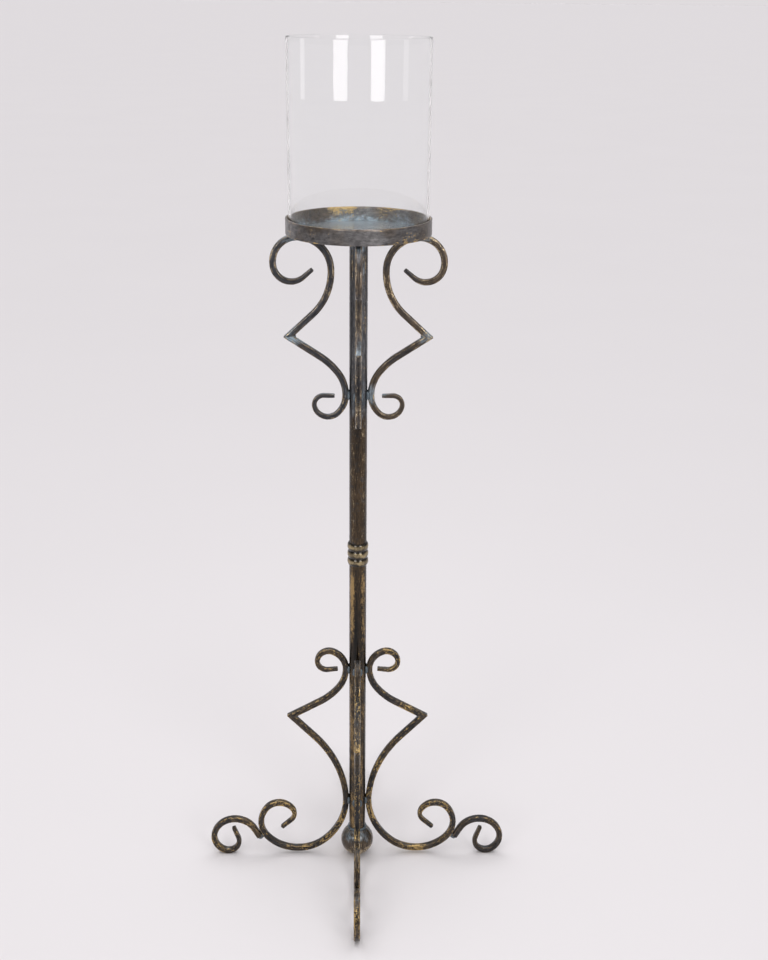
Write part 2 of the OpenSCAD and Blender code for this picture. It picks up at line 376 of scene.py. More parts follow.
def ring_point(pose, across, out, turn):
    """A point of the section at a pose, on the side of the post that turn stands for."""
    a = math.radians(pose[2])
    r, z = pose[0] - across * math.sin(a), pose[1] + across * math.cos(a)
    return turn @ Vector((r, -out, z))


def toe_limit(pose, across):
    """How far one line of the toe's bar runs on before it meets the leg's curl or ends."""
    a = math.radians(pose[2])
    origin = Vector((pose[0] - across * math.sin(a), pose[1] + across * math.cos(a))) - LEG_CURL
    direction = Vector((math.cos(a), math.sin(a)))
    along = origin.dot(direction)
    inside = along * along - origin.length_squared + LEG_CURL_R ** 2
    if inside > 0 and -along - math.sqrt(inside) > 0:
        return min(TOE_STRAIGHT, -along - math.sqrt(inside))
    return TOE_STRAIGHT


def each_once(elements):
    """The elements without repeats, in their own order, so that each run builds the same mesh."""
    return list(dict.fromkeys(elements))


def cut_by(bm, centre, point, normal):
    """Cuts away what lies beyond a plane near a corner's centre. Returns the faces that close the cut."""
    faces = [f for f in bm.faces if all((v.co - centre).length < CORNER_REACH for v in f.verts)]
    geometry = faces + each_once(e for f in faces for e in f.edges)
    geometry += each_once(v for f in faces for v in f.verts)
    cut = bmesh.ops.bisect_plane(
        bm, geom=geometry, dist=CUT_TOLERANCE, plane_co=point, plane_no=normal, clear_outer=True)
    rim = [e for e in cut["geom_cut"] if isinstance(e, bmesh.types.BMEdge)]
    return bmesh.ops.contextual_create(bm, geom=rim)["faces"]


def sweep_bar(name, kind, angle, seed, material):
    """One scroll's bar as a mesh: a rounded square swept along its bends, drawn out towards its end."""
    bar = BARS[kind]
    turn = Matrix.Rotation(math.radians(angle), 3, "Z")
    bm, layers, uv = new_piece()
    route = scroll_route(bar)
    rings, distances = [], []

    def add_ring(pose, width, distance, shrink=0.0, limits=None, share=0.0):
        """Adds a ring. With limits, each of its points goes that share of its own limit straight on."""
        ring = []
        thin = width / BAR  # drawn out in the plane of the bend, and half as much across it
        wide = (1 + thin) / 2
        for i, (across, out, edge) in enumerate(SECTION):
            u, w = across * thin * (1 - shrink), out * wide * (1 - shrink)
            at = ahead_of(pose, share * limits[i]) if limits else pose
            p = ring_point(at, u, w, turn)
            centre = ring_point(at, 0, 0, turn)
            outward = (p - centre).normalized()
            vertex = bm.verts.new(p - outward * dent(p, seed))
            vertex[layers["edge"]] = edge
            ring.append(vertex)
        rings.append(ring)
        distances.append(distance)

    first_pose, first_width = route[0]
    for lead, shrink in DRESSED_END:
        add_ring(ahead_of(first_pose, lead * MM), first_width, lead * MM, shrink)
    travelled = 0.0
    for (pose, width), (before, _) in zip(route[1:], route):
        travelled += math.dist(pose[:2], before[:2])
        add_ring(pose, width, travelled)

    last_pose = route[-1][0]
    if kind == "toe_scroll":
        limits = [toe_limit(last_pose, across) for across, _, _ in SECTION]
        steps = round(TOE_STRAIGHT / RING_STEP)
        for i in range(1, steps + 1):
            add_ring(last_pose, BAR, travelled + TOE_STRAIGHT * i / steps, 0.0, limits, i / steps)
    else:
        corner = BRACKET_CORNER if kind.startswith("bracket") else LEG_CORNER
        length = math.dist(last_pose[:2], corner[:2]) + CORNER_OVERRUN
        steps = round(length / RING_STEP)
        for i in range(1, steps + 1):
            add_ring(ahead_of(last_pose, length * i / steps), BAR, travelled + length * i / steps)

    count = len(SECTION)
    for (low, high), (s0, s1) in zip(zip(rings, rings[1:]), zip(distances, distances[1:])):
        for i in range(count):
            j = (i + 1) % count
            face = bm.faces.new((low[i], low[j], high[j], high[i]))
            corners = ((i / count, s0), ((i + 1) / count, s0), ((i + 1) / count, s1), (i / count, s1))
            for loop, (around, along) in zip(face.loops, corners):
                loop[uv].uv = (around * 4 * BAR * SKIN_SCALE, along * SKIN_SCALE)
    bm.faces.new(list(reversed(rings[0])))
    bm.faces.new(rings[-1])
    bmesh.ops.recalc_face_normals(bm, faces=bm.faces[:])

    if kind != "toe_scroll":
        mitre_at_corner(bm, kind, corner, turn)
    paint_bar(bm, layers, kind, turn, seed)
    return finish_piece(name, bm, material)


def mitre_at_corner(bm, kind, corner, turn):
    """Cuts a bar's end to the mitre, and blunts the point of the corner."""
    facing = math.radians(corner[2])
    point = ring_point(corner, 0, 0, turn)
    nose = ring_point(ahead_of(corner, CORNER_NOSE), 0, 0, turn)
    away = turn @ Vector((-math.sin(facing), 0, math.cos(facing)))
    if kind not in ("bracket_low_scroll", "leg_scroll"):
        away = -away
    cut_by(bm, point, point, away)
    nose_faces = cut_by(bm, point, nose, turn @ Vector((math.cos(facing), 0, math.sin(facing))))
    edges = [e for e in each_once(e for face in nose_faces for e in face.edges)
             if all(abs((v.co - point).dot(away)) > ON_MITRE for v in e.verts)]
    if edges:
        bmesh.ops.bevel(bm, geom=edges, offset=SAWN_EDGE, segments=2, affect="EDGES", clamp_overlap=True)


# The legs' paint, which has more gold on it, fades in from this height down to the legs' tops
LEGS_BEGIN_Z = 0.45

# How far blue patina spreads from the welds on a bracket, on a leg and where a toe joins its leg
BRACKET_CONTACT_BLUE, BRACKET_CORNER_BLUE = 24 * MM, 20 * MM
LEG_CONTACT_BLUE, LEG_CORNER_BLUE, TOE_JOINT_BLUE = 13 * MM, 15 * MM, 16 * MM

# How strong that patina is on the side brackets and legs, and on the front and back ones
SIDE_SMEARS, FRONT_SMEARS = 1.3, 0.7


def paint_bar(bm, layers, kind, turn, seed):
    """Sets a bar's paint layers.

    The right bracket is more golden and the left one bluer. The front and back bars have weaker smears than
    the side ones, a lighter tone, which on the brackets is a painted sheen and lower down is lighter near
    the foot, and more gold only at the foot. Upward faces get a painted blue-grey sheen, and the brackets'
    tops painted light and their undersides painted shade.
    """
    bar = BARS[kind]
    upper = kind.startswith("bracket")
    facing = turn @ Vector((1, 0, 0))
    rightward = facing.x if upper else 0.0
    sideways = abs(facing.x) > 0.5
    smears = SIDE_SMEARS if sideways else FRONT_SMEARS
    spots = [(ring_point(bar["contact"], 0, 0, turn), BRACKET_CONTACT_BLUE if upper else LEG_CONTACT_BLUE)]
    joint = None
    if kind == "toe_scroll":
        joint = ring_point(ahead_of(exit_of(bar), TOE_STRAIGHT), 0, 0, turn)
        spots.append((joint, TOE_JOINT_BLUE))
    elif upper:
        spots.append((ring_point(BRACKET_CORNER, 0, 0, turn), BRACKET_CORNER_BLUE))
    else:
        spots.append((ring_point(LEG_CORNER, 0, 0, turn), LEG_CORNER_BLUE))
    bm.normal_update()
    for v in bm.verts:
        leg = smoothstep(LEGS_BEGIN_Z, LEG_TOP_CONTACT[1], v.co.z)
        near_weld = sum(bump_at((v.co - spot).length, 0, spread) for spot, spread in spots)
        upward, downward = max(0.0, v.normal.z), max(0.0, -v.normal.z)
        drift = unit_noise(v.co * 22 + Vector((0, 0, seed)))
        cluster = smoothstep(0.46, 0.72, unit_noise(v.co * 17 + Vector((seed, 5, 0))))

        smear = (smears - 0.7 * smears * leg) * near_weld * drift
        # Painted sheen: upward faces get lighter blue-grey, standing in for light from above; the blue near
        # the welds is patina
        painted_top_sheen = (0.15 + 0.4 * drift - 0.12 * rightward) * upward
        v[layers["blue"]] = max(0.0, min(1.0, smear + painted_top_sheen))

        dull_gold = (1 - leg) * (0.12 + 0.20 * cluster + 0.05 * rightward)
        gold = dull_gold + leg * (0.16 + (0.10 + 0.26 * cluster) * (0.6 + 0.6 * downward))
        if joint:
            gold -= 0.32 * bump_at((v.co - joint).length, 0, 34 * MM)
        lighter = 0.0
        if not sideways:
            foot = smoothstep(150 * MM, 70 * MM, v.co.z)
            gold += leg * (0.12 * foot - 0.05) - 0.05 * (1 - leg)
            # On the front and back brackets the lighter tone is a painted sheen; near the foot it is only
            # lighter
            lighter = 0.25 * (1 - leg) + 0.2 * foot
        v[layers["gold"]] = gold
        v[layers["warm"]] = 0.4 + 0.1 * leg + 0.7 * (drift - 0.5) + 0.22 * rightward
        # Painted light: the brackets' upward faces are painted lighter and their downward faces darker, as
        # if lit from above
        painted_top_light = (1 - leg) * (0.55 * upward - 0.5 * downward)
        v[layers["tone"]] = lighter + painted_top_light + 0.9 * (drift - 0.5)


def bars():
    for n, (side, angle) in enumerate(SIDES.items()):
        for k, kind in enumerate(BARS):
            upper = kind.startswith("bracket")
            paint = BRACKET_BRONZE if upper else LEG_BRONZE
            piece = sweep_bar(f"{side}_{kind}_bar", kind, angle, 11.3 * n + 2.7 * k, paint)
            dress(piece, "stand", "upper_bronze" if upper else "lower_bronze", f"{side}_{kind}")


# ---------- turned pieces ----------

def lathe(name, profile, material, segments, closed=False, dents=0.0, paint=None, seed=0.0,
          smooth_angle=SMOOTH_ANGLE):
    """Turns a profile of (r, z) about the post's axis. paint(vertex, layers) sets the paint layers."""
    bm, layers, uv = new_piece()
    rings = []
    for r, z in profile:
        if r < ON_AXIS:
            rings.append([bm.verts.new((0, 0, z))])
            continue
        ring = []
        for i in range(segments):
            a = 2 * math.pi * i / segments
            out = Vector((math.cos(a), math.sin(a), 0))
            p = out * r + Vector((0, 0, z))
            ring.append(bm.verts.new(p - out * dent(p, seed, dents) if dents else p))
        rings.append(ring)
    lengths = [0.0]
    for a, b in zip(profile, profile[1:]):
        lengths.append(lengths[-1] + math.dist(a, b))
    pairs = list(zip(rings, rings[1:], lengths, lengths[1:]))
    if closed:
        pairs.append((rings[-1], rings[0], lengths[-1], lengths[-1] + math.dist(profile[-1], profile[0])))
    scale = max(r for r, _ in profile) * 2 * math.pi * SKIN_SCALE
    for low, high, s0, s1 in pairs:
        for i in range(segments):
            j = (i + 1) % segments
            u0, u1 = i / segments * scale, (i + 1) / segments * scale
            if len(low) == 1:
                face, corners = bm.faces.new((low[0], high[j], high[i])), ((u0, s0), (u1, s1), (u0, s1))
            elif len(high) == 1:
                face, corners = bm.faces.new((low[i], low[j], high[0])), ((u0, s0), (u1, s0), (u0, s1))
            else:
                face = bm.faces.new((low[i], low[j], high[j], high[i]))
                corners = ((u0, s0), (u1, s0), (u1, s1), (u0, s1))
            for loop, (u, s) in zip(face.loops, corners):
                loop[uv].uv = (u, s * SKIN_SCALE)
    bmesh.ops.recalc_face_normals(bm, faces=bm.faces[:])
    bm.normal_update()
    if paint:
        for v in bm.verts:
            paint(v, layers)
    return finish_piece(name, bm, material, smooth_angle)


def arc(centre, radius, start, end, steps):
    """Points (r, z) round a centre, from one angle to another."""
    angles = [math.radians(start + (end - start) * i / steps) for i in range(steps + 1)]
    return [(centre[0] + radius * math.cos(a), centre[1] + radius * math.sin(a)) for a in angles]


def stretch(a, b, step):
    """Points on a straight line of a profile, about step apart, without its first."""
    steps = max(1, round(math.dist(a, b) / step))
    return [
        (a[0] + (b[0] - a[0]) * i / steps, a[1] + (b[1] - a[1]) * i / steps)
        for i in range(1, steps + 1)
    ]


def outline(corners, step):
    """A closed profile through its corners, with the long sides divided."""
    points = []
    for a, b in zip(corners, corners[1:] + corners[:1]):
        points += stretch(a, b, step)
    return points


def heading_of(point):
    """The angle of a point round the post, from +X."""
    return math.degrees(math.atan2(point.y, point.x))


def round_from(heading, at):
    """How far a heading is from another one, from -180 to 180."""
    return (heading - at + 180) % 360 - 180


def paint_tube(v, layers):
    """Gold streaks down the tube, most of them between the legs, and blue near the welds.

    It has four zones from the top down: among the brackets, over the collar, under it and among the legs.
    """
    z = v.co.z
    top = LEG_TOP_CONTACT[1]
    past_side = (heading_of(v.co) + 45) % 90 - 45
    between = smoothstep(12, 38, abs(past_side))
    rubbed = bump_at(past_side, -42, 4) + bump_at(past_side, -8, 3)
    streak = noise.noise(Vector((v.co.x * 150, v.co.y * 150, z * 5)))
    drift = noise.noise(Vector((v.co.x * 60 + 7, v.co.y * 60, z * 14)))

    brackets = smoothstep(BRACKET_CONTACT[1] - 50 * MM, BRACKET_CONTACT[1] + 10 * MM, z)
    over_collar = smoothstep(JOINT_Z + 5 * MM, JOINT_Z + 40 * MM, z) * (1 - brackets)
    under_collar = smoothstep(top + 30 * MM, top + 60 * MM, z)
    under_collar *= smoothstep(JOINT_Z - 8 * MM, JOINT_Z - 45 * MM, z)
    legs = smoothstep(top + 15 * MM, top - 5 * MM, z)

    banded = 0.40 * between * under_collar * (1 + 0.8 * streak) + 0.16 * between * over_collar
    brushed = 0.35 * brackets * rubbed * (0.6 + drift) + banded + legs * (0.18 + 0.2 * drift)
    v[layers["gold"]] = max(0.0, 0.10 + brushed + 0.25 * streak * (brackets + legs) + 0.15 * drift)

    near_weld = bump_at(z, BRACKET_CONTACT[1] - 10 * MM, 38 * MM) + bump_at(z, PAN_LOW, 26 * MM)
    near_weld += 0.5 * bump_at(z, top, 24 * MM) + 0.4 * bump_at(z, LEG_CONTACT[1], 20 * MM)
    blue = 0.5 * near_weld + 0.3 * brackets * (0.5 + streak) + 0.3 * drift * (0.3 + brackets)
    v[layers["blue"]] = max(0.0, min(1.0, blue))

    v[layers["warm"]] = 0.95 - 0.75 * brackets - 0.3 * legs + 0.5 * drift
    # Painted shade: the tube is darker just above the legs' tops, among their scrolls, and just under the
    # collar
    painted_shade_bands = bump_at(z, top + 18 * MM, 22 * MM) + 0.5 * bump_at(z, JOINT_Z - 6 * MM, 9 * MM)
    v[layers["tone"]] = 1.1 * streak + 0.7 * drift - 0.5 * painted_shade_bands - 0.25 * (1 - between) * under_collar


def tube(name, low, high, node, slot, seed, material):
    """One of the post's two tubes, with its outer edges broken."""
    inner = POST_R - POST_WALL
    edge = 0.4 * MM
    corners = [
        (inner, low), (POST_R - edge, low), (POST_R, low + edge),
        (POST_R, high - edge), (POST_R - edge, high), (inner, high),
    ]
    piece = lathe(name, outline(corners, 4 * MM), material, TUBE_SEGMENTS, closed=True, dents=0.10 * MM,
                  paint=paint_tube, seed=seed)
    dress(piece, "stand", slot, node)


def collar():
    """Three turned beads, each a shallow arc, with a fine groove between them."""
    low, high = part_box("joint_collar")
    pitch = (high.z - low.z) / 3
    crown = high.x
    bore = POST_R + 0.05 * MM
    bead_r = 0.9 * pitch
    groove_angle = 1.5
    half_angle = math.degrees(math.asin(pitch / 2 / bead_r)) - groove_angle
    profile = []
    for row in (-1, 0, 1):
        profile += arc((crown - bead_r, JOINT_Z + row * pitch), bead_r, -half_angle, half_angle, 14)
    lip = 0.3 * MM
    groove_depth = 1.6 * MM
    profile = [(bore, low.z), (profile[0][0] - lip, low.z)] + profile
    profile += [(profile[-1][0] - lip, high.z), (bore, high.z)]

    def paint(v, layers):
        depth = (crown - math.hypot(v.co.x, v.co.y)) / groove_depth
        # Painted light: the edge layer is high on the beads' crowns and upper sides, a painted highlight,
        # and low in the grooves, painted shade
        v[layers["edge"]] = max(0.0, 1 - depth) * (0.75 + 0.45 * v.normal.z)

    piece = lathe("turned_collar", profile, COLLAR_BRASS, COLLAR_SEGMENTS, closed=True, dents=0.05 * MM,
                  paint=paint, seed=3.0, smooth_angle=COLLAR_SMOOTH_ANGLE)
    dress(piece, "stand", "collar_brass", "joint_collar")


def ball():
    """The ball with the spigot that plugs the tube above it."""
    spigot_r = POST_R - POST_WALL - 0.05 * MM
    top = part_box("foot_ball")[1].z
    shoulder = math.degrees(math.acos(spigot_r / BALL_R))
    profile = [(0.0, BALL_Z - BALL_R)] + arc((0, BALL_Z), BALL_R, -88, shoulder, 60)
    profile += stretch(profile[-1], (spigot_r, top), 3 * MM) + [(0.0, top)]

    def paint(v, layers):
        drift = unit_noise(v.co * 70)
        v[layers["gold"]] = 0.26 + 0.66 * drift * smoothstep(BALL_Z + 6 * MM, BALL_Z - 14 * MM, v.co.z)
        # Painted sheen: the lighter blue-grey rises towards the ball's top, as if lit from above
        v[layers["blue"]] = smoothstep(BALL_Z - 8 * MM, BALL_Z + 16 * MM, v.co.z) * (0.3 + 0.5 * drift)
        v[layers["warm"]] = 0.7
        v[layers["tone"]] = 0.3 + 0.8 * (drift - 0.5)

    piece = lathe("solid_foot_ball", profile, BRACKET_BRONZE, BALL_SEGMENTS, dents=0.15 * MM, paint=paint,
                  seed=5.0)
    dress(piece, "stand", "ball_patina", "foot_ball")


# Where gold is rubbed into the pan's band, inside and outside: (heading, spread)
RUBBED_INSIDE = [(108, 9), (97, 4), (66, 10), (52, 5), (-40, 13), (-128, 8), (178, 7)]
RUBBED_OUTSIDE = [(-50, 6), (-42, 3), (22, 7), (118, 6), (205, 5)]


def pan():
    """A band rolled from flat bar round a flat floor."""
    inner, edge = PAN_FLOOR_R, 0.7 * MM
    corners = (
        [(inner, PAN_LOW)]
        + arc((PAN_R - edge, PAN_LOW + edge), edge, -90, 0, 4)
        + arc((PAN_R - edge, PAN_HIGH - edge), edge, 0, 90, 4)
        + arc((inner + edge, PAN_HIGH - edge), edge, 90, 180, 4)
    )
    mid_r = (inner + PAN_R) / 2

    def paint_band(v, layers):
        z = v.co.z
        heading = heading_of(v.co)
        drift = unit_noise(v.co * 26)
        fine = unit_noise(v.co * 90)
        worn = smoothstep(0.5, 0.75, unit_noise(v.co * 15 + Vector((9, 2, 0))))
        height = (z - PAN_LOW) / (PAN_HIGH - PAN_LOW)
        top = smoothstep(PAN_HIGH - 2 * MM, PAN_HIGH - 0.2 * MM, z)
        foot = smoothstep(PAN_LOW + 3 * MM, PAN_LOW, z)
        if math.hypot(v.co.x, v.co.y) < mid_r:
            patches, strength, here = RUBBED_INSIDE, 0.34, height
            blue = 0.75 - 0.75 * height + 0.4 * (drift - 0.5)
            warmer, lighter = 0.3 * height, 0.45
        else:
            patches, strength, here = RUBBED_OUTSIDE, 0.27, 1 - 0.4 * height
            blue = 0.28 * drift
            warmer, lighter = 0.0, 0.08
        patch = sum(bump_at(round_from(heading, at), 0, spread) for at, spread in patches)
        v[layers["edge"]] = top * (0.2 + 0.8 * drift)
        v[layers["gold"]] = 0.12 + 0.20 * foot + strength * patch * here * (0.5 + fine) + 0.12 * worn
        v[layers["blue"]] = blue
        v[layers["warm"]] = 0.3 + 1.2 * (0.5 - drift) + warmer
        v[layers["tone"]] = 1.6 * (drift - 0.5) + lighter

    band = lathe("rolled_pan_band", outline(corners, 2.5 * MM), PAN_BRONZE, PAN_BAND_SEGMENTS, closed=True,
                 dents=0.18 * MM, paint=paint_band, seed=8.0)
    dress(band, "stand", "pan_bronze", "pan_band")

    skirt = 0.3 * MM
    profile = [(0.0, PAN_LOW)] + stretch((0.0, PAN_LOW), (inner - skirt, PAN_LOW), 6 * MM)
    profile += [(inner, PAN_LOW + skirt), (inner, PAN_FLOOR_TOP - skirt), (inner - skirt, PAN_FLOOR_TOP)]
    profile += stretch((inner - skirt, PAN_FLOOR_TOP), (0.0, PAN_FLOOR_TOP), 6 * MM)

    def paint_floor(v, layers):
        drift = unit_noise(v.co * 30)
        v[layers["gold"]] = 0.1 * drift
        v[layers["blue"]] = 0.8 + 0.15 * drift

    plate = lathe("pan_dish_floor", profile, PAN_PATINA, PAN_FLOOR_SEGMENTS, paint=paint_floor)
    dress(plate, "stand", "pan_patina", "pan_floor")


def hurricane():
    """A plain blown cylinder with fire-polished rims."""
    inner = GLASS_R - GLASS_WALL
    rim = GLASS_WALL / 2
    low, high = PAN_FLOOR_TOP + rim, GLASS_TOP - rim
    profile = stretch((GLASS_R, low), (GLASS_R, high), 8 * MM)
    profile += arc((GLASS_R - rim, high), rim, 0, 180, 12)[1:]
    profile += stretch((inner, high), (inner, low), 8 * MM)
    profile += arc((GLASS_R - rim, low), rim, 180, 360, 12)[1:]
    piece = lathe("hurricane_cylinder", profile, CLEAR_GLASS, GLASS_SEGMENTS, closed=True)
    dress(piece, "glass", "clear_glass", "glass_hurricane")


# ---------- welds ----------

def add_bead(bm, layers, points, radius, seed, closed=False):
    """Adds a lumpy bead of weld: a closed ring through its points, or a rounded one between two points."""
    stations = []
    if closed:
        for i, point in enumerate(points):
            tangent = (points[(i + 1) % len(points)] - points[i - 1]).normalized()
            stations.append((point, tangent, tangent.cross(Vector((0, 0, 1))).normalized(), 1.0))
    else:
        tangent = (points[1] - points[0]).normalized()
        side = tangent.orthogonal().normalized()
        for i in range(BEAD_STEPS + 1):
            t = i / BEAD_STEPS
            swell = max(0.02, (1 - abs(2 * t - 1) ** 3) ** 0.5)
            stations.append((points[0].lerp(points[1], t), tangent, side, swell))
    rings = []
    for i, (centre, tangent, side, swell) in enumerate(stations):
        up = tangent.cross(side)
        ring = []
        for k in range(BEAD_SEGMENTS):
            a = 2 * math.pi * k / BEAD_SEGMENTS
            direction = side * math.cos(a) + up * math.sin(a)
            rough = noise.noise((centre + direction * radius) * 380 + Vector((seed, 0, 0)))
            ripple = 0.07 * math.sin(i * 1.9 + 0.8 * math.cos(a))
            ring.append(bm.verts.new(centre + direction * radius * swell * (0.9 + 0.22 * rough + ripple)))
        rings.append(ring)
    pairs = list(zip(rings, rings[1:])) + ([(rings[-1], rings[0])] if closed else [])
    for low, high in pairs:
        for k in range(BEAD_SEGMENTS):
            n = (k + 1) % BEAD_SEGMENTS
            bm.faces.new((low[k], low[n], high[n], high[k]))
    if not closed:
        bm.faces.new(list(reversed(rings[0])))
        bm.faces.new(rings[-1])
    for ring in rings:
        for v in ring:
            v[layers["blue"]] = 0.85
            v[layers["gold"]] = 0.12
            v[layers["warm"]] = 0.2


def weld_piece(node, add, angles=SIDES.values()):
    """The beads that stand for one weld node. add(bm, layers, turn, seed) adds those at one angle."""
    bm, layers, _ = new_piece()
    for n, angle in enumerate(angles):
        add(bm, layers, Matrix.Rotation(math.radians(angle), 3, "Z"), 3.1 * n)
    bmesh.ops.recalc_face_normals(bm, faces=bm.faces[:])
    piece = finish_piece(node.replace("weld", "weld_bead"), bm, WELD_METAL, BEAD_SMOOTH_ANGLE)
    dress(piece, "stand", "weld_patina", node)


def across_bar(point_at):
    """The two ends of a bead that lies right across a bar. point_at(out) is a point out from its middle."""
    return [point_at(out) for out in (-CROSS_BEAD_HALF, CROSS_BEAD_HALF)]


def contact_welds(node, contact):
    """A bead on each side of every bar, along the line where it touches."""

    def add(bm, layers, turn, seed):
        for side in (-1, 1):
            out = side * (BAR / 2 + BEAD_OFFSET)
            ends = [ring_point(ahead_of(contact, d), BAR / 2 - BEAD_OFFSET, out, turn)
                    for d in (-CONTACT_BEAD_HALF, CONTACT_BEAD_HALF)]
            add_bead(bm, layers, ends, CONTACT_BEAD_R, seed + side)

    weld_piece(node, add)


def corner_welds(node, corner, bar, other):
    """A bead across the inside of every mitred corner between two bars."""
    half_angle = abs(exit_of(BARS[bar])[2] - exit_of(BARS[other])[2]) / 2
    inner = BAR / 2 / math.sin(math.radians(half_angle))

    def add(bm, layers, turn, seed):
        at = ahead_of(corner, -inner - BEAD_OFFSET)
        add_bead(bm, layers, across_bar(lambda out: ring_point(at, 0, out, turn)), CORNER_BEAD_R, seed)

    weld_piece(node, add)


def toe_welds():
    """Beads in the crotches between each toe and its leg, above the toe's bar and below it."""
    toe_exit = exit_of(BARS["toe_scroll"])
    upper_side = -BAR / 2
    meet = ahead_of(toe_exit, toe_limit(toe_exit, upper_side) - 0.6 * MM)
    end = ring_point(ahead_of(toe_exit, TOE_STRAIGHT), BAR / 2 - 1.5 * MM, 0, Matrix.Identity(3))
    from_curl = Vector((end.x, end.z)) - LEG_CURL
    gap = from_curl.length - LEG_CURL_R
    under = from_curl.normalized() * (LEG_CURL_R + gap / 2) + LEG_CURL

    def add(bm, layers, turn, seed):
        ends = across_bar(lambda out: ring_point(meet, upper_side, out, turn))
        add_bead(bm, layers, ends, TOE_BEAD_R, seed)
        ends = across_bar(lambda out: turn @ Vector((under.x, out, under.y)))
        add_bead(bm, layers, ends, gap / 2 + 1.2 * MM, seed + 1)

    weld_piece("toe_welds", add)


def ring_weld(node, z):
    """One bead right round the tube."""

    def add(bm, layers, turn, seed):
        ring = []
        for i in range(RING_BEAD_STEPS):
            a = 2 * math.pi * i / RING_BEAD_STEPS
            ring.append(Vector((math.cos(a), math.sin(a), 0)) * (POST_R + BEAD_OFFSET) + Vector((0, 0, z)))
        add_bead(bm, layers, ring, RING_BEAD_R, 1.0, closed=True)

    weld_piece(node, add, angles=(0,))


def welds():
    contact_welds("pan_scroll_welds", PAN_CONTACT)
    contact_welds("bracket_post_welds", BRACKET_CONTACT)
    contact_welds("leg_top_welds", LEG_TOP_CONTACT)
    contact_welds("leg_foot_welds", LEG_CONTACT)
    corner_welds("bracket_corner_welds", BRACKET_CORNER, "bracket_top_scroll", "bracket_low_scroll")
    corner_welds("leg_corner_welds", LEG_CORNER, "leg_top_scroll", "leg_scroll")
    toe_welds()
    ring_weld("pan_post_weld", PAN_LOW - 1.3 * MM)
    ring_weld("ball_weld", TUBE_FOOT_Z + 0.6 * MM)


# ---------- materials ----------

class Graph:
    """The nodes of a material or a world, added one short call at a time."""

    def __init__(self, name, kind="Material"):
        self.kind = kind
        blocks = bpy.data.worlds if kind == "World" else bpy.data.materials
        self.block = blocks.new(name)
        self.block.use_nodes = True
        self.nodes = self.block.node_tree.nodes
        self.links = self.block.node_tree.links
        self.nodes.clear()

    def put(self, kind, sockets=(), **settings):
        """Adds a node. Each of its sockets is set to a value, or linked if the value is a socket itself."""
        node = self.nodes.new("ShaderNode" + kind)
        for key, value in settings.items():
            setattr(node, key, value)
        for key, value in dict(sockets).items():
            if isinstance(value, bpy.types.NodeSocket):
                self.links.new(value, node.inputs[key])
            else:
                node.inputs[key].default_value = value
        return node

    def noise(self, vector, scale, detail=3.0, roughness=0.55, distortion=0.0):
        values = dict(Vector=vector, Scale=scale, Detail=detail, Roughness=roughness, Distortion=distortion)
        return self.put("TexNoise", values).outputs["Fac"]

    def math(self, operation, a, b=0.0, c=0.0):
        return self.put("Math", {0: a, 1: b, 2: c}, operation=operation).outputs[0]

    def add(self, a, b):
        return self.math("ADD", a, b)

    def minus(self, a, b):
        return self.math("SUBTRACT", a, b)

    def times(self, a, b):
        return self.math("MULTIPLY", a, b)

    def between(self, value, low, high):
        """0 below low, 1 above high, and eased between."""
        sockets = {"Value": value, "From Min": low, "From Max": high}
        return self.put("MapRange", sockets, interpolation_type="SMOOTHSTEP").outputs[0]

    def mix(self, factor, a, b, blend="MIX"):
        """Two colours mixed or multiplied, which are the node's inputs 6 and 7."""
        return self.put("Mix", {"Factor": factor, 6: a, 7: b}, data_type="RGBA", blend_type=blend).outputs[2]

    def attribute(self, name):
        return self.put("Attribute", attribute_name=name).outputs["Fac"]

    def skin(self, across, along):
        """The piece's skin coordinates, scaled across it and along it."""
        uv = self.put("UVMap", uv_map="skin").outputs[0]
        return self.put("Mapping", {"Vector": uv, "Scale": (across, along, 1)}).outputs[0]

    def place(self):
        return self.put("TexCoord").outputs["Object"]

    def bump(self, height, strength, distance):
        return self.put("Bump", {"Height": height, "Strength": strength, "Distance": distance}).outputs[0]

    def end(self, shader):
        self.put("Output" + self.kind, {"Surface": shader})
        return self.block


# Gold shows where the rubbing, plus how far the breaks in it lie above their mean, passes this level
GOLD_LEVEL = 0.42
BREAKS_MEAN = 1.3


def scaled(colour, factor):
    return tuple(min(1.0, c * factor) for c in colour[:3]) + (1,)


